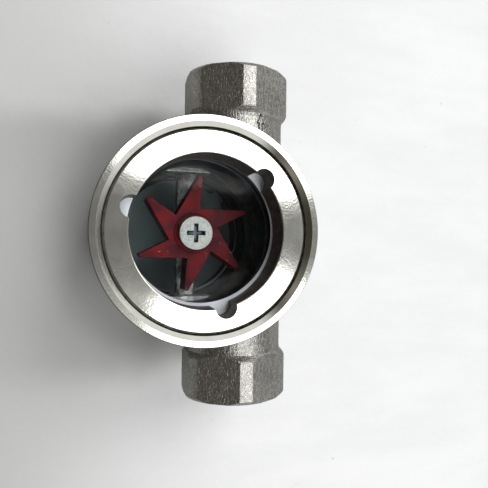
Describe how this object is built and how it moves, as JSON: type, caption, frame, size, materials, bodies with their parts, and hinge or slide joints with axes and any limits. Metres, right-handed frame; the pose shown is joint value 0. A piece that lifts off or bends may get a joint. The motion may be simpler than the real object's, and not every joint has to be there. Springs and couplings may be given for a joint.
{
  "type": "sight glass",
  "caption": "Threaded flow sight glass: cast drum with a glass window on each side, hexagonal threaded pipe ends and a star impeller that turns with the flow.",
  "frame": {"origin": "middle of the assembly, on the window axis, halfway between the two rims", "axes": "+Z along the window axis out of the front window, +Y along the flow from inlet to outlet, +X towards the side where the pipe axis lies"},
  "size_m": [0.0534, 0.089, 0.0536],
  "materials": {
    "cast_stainless": "investment-cast stainless steel, fine blasted grain, rims turned bright",
    "turned_stainless": "fine turned and polished stainless steel",
    "ptfe": "white fluoropolymer, slightly waxy",
    "black_rubber": "black moulded nitrile rubber, matt",
    "window_glass": "clear polished toughened borosilicate",
    "red_plastic": "moulded dark red plastic",
    "fastener_steel": "stainless fastener, fine grained"
  },
  "bodies": {
    "housing": {"body": "cast_stainless", "front_gland": "turned_stainless", "rear_gland": "turned_stainless", "front_slip_gasket": "ptfe", "rear_slip_gasket": "ptfe", "front_glass": "window_glass", "rear_glass": "window_glass", "front_seat_gasket": "black_rubber", "rear_seat_gasket": "black_rubber", "axle_sleeve": "fastener_steel", "axle_screw": "fastener_steel", "front_washer": "fastener_steel", "rear_washer": "fastener_steel"},
    "rotor": {"impeller": "red_plastic"}
  },
  "joints": [
    {"name": "impeller_spin", "type": "hinge", "parent": "housing", "child": "rotor", "pos_m": [0, 0, 0.00195], "axis": [0, 0, 1], "continuous": true}
  ]
}
